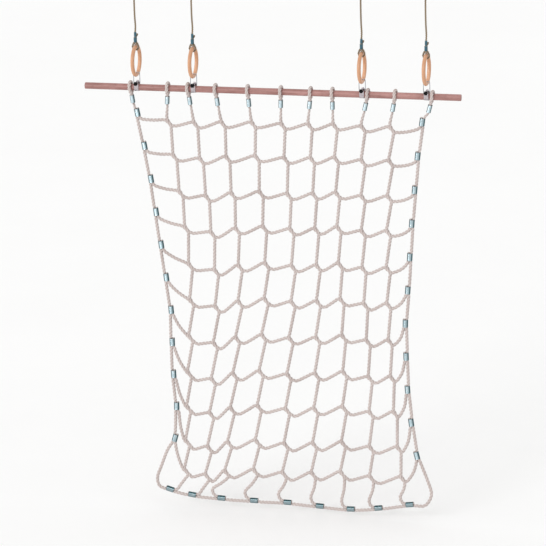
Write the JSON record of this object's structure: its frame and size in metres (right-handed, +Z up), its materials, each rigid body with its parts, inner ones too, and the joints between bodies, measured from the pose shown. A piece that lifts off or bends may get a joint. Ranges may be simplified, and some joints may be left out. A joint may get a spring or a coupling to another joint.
{
  "type": "climbing net",
  "caption": "Rope climbing net with square meshes, looped over a round wooden bar that hangs from wooden gym rings on short ceiling ropes.",
  "frame": {"origin": "middle of the ceiling plane above the bar's middle; the four ceiling plates touch it from below", "axes": "+X along the bar, -Y the climbing side that the knobs face, +Z up"},
  "size_m": [2.78, 0.235, 4.0719],
  "materials": {
    "net_rope": "three-strand laid rope, off-white with a pinkish cast, matt",
    "hanger_rope": "thin khaki laid rope, matt",
    "whipping": "teal whipping twine",
    "bar_wood": "planed hardwood, pinkish brown, satin",
    "ring_wood": "steam-bent ash, light orange tan, satin lacquer",
    "steel_wire": "zinc-plated wire",
    "chromed_strap": "polished",
    "steel_fitting": "zinc-plated",
    "ferrule": "pressed, pale blue cast, satin",
    "black_knob": "moulded, slightly glossy"
  },
  "bodies": {
    "ceiling": {"ceiling_eye_1": "steel_fitting", "ceiling_eye_2": "steel_fitting", "ceiling_eye_3": "steel_fitting", "ceiling_eye_4": "steel_fitting"},
    "shackle_1": {"shackle_1": "steel_fitting"},
    "hanger_1": {"hanger_rope_1": "hanger_rope", "ring_1": "ring_wood"},
    "shackle_2": {"shackle_2": "steel_fitting"},
    "hanger_2": {"hanger_rope_2": "hanger_rope", "ring_2": "ring_wood"},
    "shackle_3": {"shackle_3": "steel_fitting"},
    "hanger_3": {"hanger_rope_3": "hanger_rope", "ring_3": "ring_wood"},
    "shackle_4": {"shackle_4": "steel_fitting"},
    "hanger_4": {"hanger_rope_4": "hanger_rope", "ring_4": "ring_wood"},
    "bar_set": {"bar": "bar_wood", "link_1": "steel_wire", "link_2": "steel_wire", "link_3": "steel_wire", "link_4": "steel_wire", "strap_1": "chromed_strap", "strap_2": "chromed_strap", "strap_3": "chromed_strap", "strap_4": "chromed_strap", "bolt_1": "steel_fitting", "bolt_2": "steel_fitting", "bolt_3": "steel_fitting", "bolt_4": "steel_fitting"},
    "washer_1": {"washer_1": "steel_fitting"},
    "knob_1": {"knob_1": "black_knob"},
    "washer_2": {"washer_2": "steel_fitting"},
    "knob_2": {"knob_2": "black_knob"},
    "washer_3": {"washer_3": "steel_fitting"},
    "knob_3": {"knob_3": "black_knob"},
    "washer_4": {"washer_4": "steel_fitting"},
    "knob_4": {"knob_4": "black_knob"},
    "net": {"border_rope": "net_rope", "vertical_rope_1": "net_rope", "vertical_rope_2": "net_rope", "vertical_rope_3": "net_rope", "vertical_rope_4": "net_rope", "vertical_rope_5": "net_rope", "vertical_rope_6": "net_rope", "vertical_rope_7": "net_rope", "vertical_rope_8": "net_rope", "vertical_rope_9": "net_rope", "horizontal_rope_1": "net_rope", "horizontal_rope_2": "net_rope", "horizontal_rope_3": "net_rope", "horizontal_rope_4": "net_rope", "horizontal_rope_5": "net_rope", "horizontal_rope_6": "net_rope", "horizontal_rope_7": "net_rope", "horizontal_rope_8": "net_rope", "horizontal_rope_9": "net_rope", "horizontal_rope_10": "net_rope", "horizontal_rope_11": "net_rope"}
  },
  "joints": [
    {"name": "fore_aft_swing_1", "type": "hinge", "parent": "ceiling", "child": "shackle_1", "pos_m": [-1, 0, -0.04], "axis": [1, 0, 0], "range_deg": [-25, 25]},
    {"name": "fore_aft_swing_2", "type": "hinge", "parent": "ceiling", "child": "shackle_2", "pos_m": [-0.575, 0, -0.04], "axis": [1, 0, 0], "range_deg": [-25, 25]},
    {"name": "fore_aft_swing_3", "type": "hinge", "parent": "ceiling", "child": "shackle_3", "pos_m": [0.67, 0, -0.04], "axis": [1, 0, 0], "range_deg": [-25, 25]},
    {"name": "fore_aft_swing_4", "type": "hinge", "parent": "ceiling", "child": "shackle_4", "pos_m": [1.14, 0, -0.04], "axis": [1, 0, 0], "range_deg": [-25, 25]},
    {"name": "side_swing_1", "type": "hinge", "parent": "shackle_1", "child": "hanger_1", "pos_m": [-1, 0, -0.04], "axis": [0, 1, 0], "range_deg": [-15, 15]},
    {"name": "side_swing_2", "type": "hinge", "parent": "shackle_2", "child": "hanger_2", "pos_m": [-0.575, 0, -0.04], "axis": [0, 1, 0], "range_deg": [-15, 15]},
    {"name": "side_swing_3", "type": "hinge", "parent": "shackle_3", "child": "hanger_3", "pos_m": [0.67, 0, -0.04], "axis": [0, 1, 0], "range_deg": [-15, 15]},
    {"name": "side_swing_4", "type": "hinge", "parent": "shackle_4", "child": "hanger_4", "pos_m": [1.14, 0, -0.04], "axis": [0, 1, 0], "range_deg": [-15, 15]},
    {"name": "bar_level", "type": "hinge", "parent": "hanger_1", "child": "bar_set", "pos_m": [-1, 0, -0.7845], "axis": [0, 1, 0], "range_deg": [-15, 15]},
    {"name": "net_swing", "type": "hinge", "parent": "bar_set", "child": "net", "pos_m": [0, 0, -0.88], "axis": [1, 0, 0], "range_deg": [-25, 25]},
    {"name": "washer_slide_1", "type": "slide", "parent": "bar_set", "child": "washer_1", "axis": [0, -1, 0], "range_m": [0, 0.006]},
    {"name": "knob_turn_1", "type": "hinge", "parent": "washer_1", "child": "knob_1", "pos_m": [-1, -0.03, -0.84545], "axis": [0, -1, 0], "range_deg": [0, 1440]},
    {"name": "washer_slide_2", "type": "slide", "parent": "bar_set", "child": "washer_2", "axis": [0, -1, 0], "range_m": [0, 0.006]},
    {"name": "knob_turn_2", "type": "hinge", "parent": "washer_2", "child": "knob_2", "pos_m": [-0.575, -0.03, -0.84545], "axis": [0, -1, 0], "range_deg": [0, 1440]},
    {"name": "washer_slide_3", "type": "slide", "parent": "bar_set", "child": "washer_3", "axis": [0, -1, 0], "range_m": [0, 0.006]},
    {"name": "knob_turn_3", "type": "hinge", "parent": "washer_3", "child": "knob_3", "pos_m": [0.67, -0.03, -0.84545], "axis": [0, -1, 0], "range_deg": [0, 1440]},
    {"name": "washer_slide_4", "type": "slide", "parent": "bar_set", "child": "washer_4", "axis": [0, -1, 0], "range_m": [0, 0.006]},
    {"name": "knob_turn_4", "type": "hinge", "parent": "washer_4", "child": "knob_4", "pos_m": [1.14, -0.03, -0.84545], "axis": [0, -1, 0], "range_deg": [0, 1440]}
  ],
  "couplings": [
    {"joint": "fore_aft_swing_2", "follows": "fore_aft_swing_1", "ratio": 1},
    {"joint": "fore_aft_swing_3", "follows": "fore_aft_swing_1", "ratio": 1},
    {"joint": "fore_aft_swing_4", "follows": "fore_aft_swing_1", "ratio": 1},
    {"joint": "side_swing_2", "follows": "side_swing_1", "ratio": 1},
    {"joint": "side_swing_3", "follows": "side_swing_1", "ratio": 1},
    {"joint": "side_swing_4", "follows": "side_swing_1", "ratio": 1},
    {"joint": "bar_level", "follows": "side_swing_1", "ratio": -1},
    {"joint": "knob_turn_1", "follows": "washer_slide_1", "rad_per_m": 4188.8},
    {"joint": "knob_turn_2", "follows": "washer_slide_2", "rad_per_m": 4188.8},
    {"joint": "knob_turn_3", "follows": "washer_slide_3", "rad_per_m": 4188.8},
    {"joint": "knob_turn_4", "follows": "washer_slide_4", "rad_per_m": 4188.8}
  ]
}
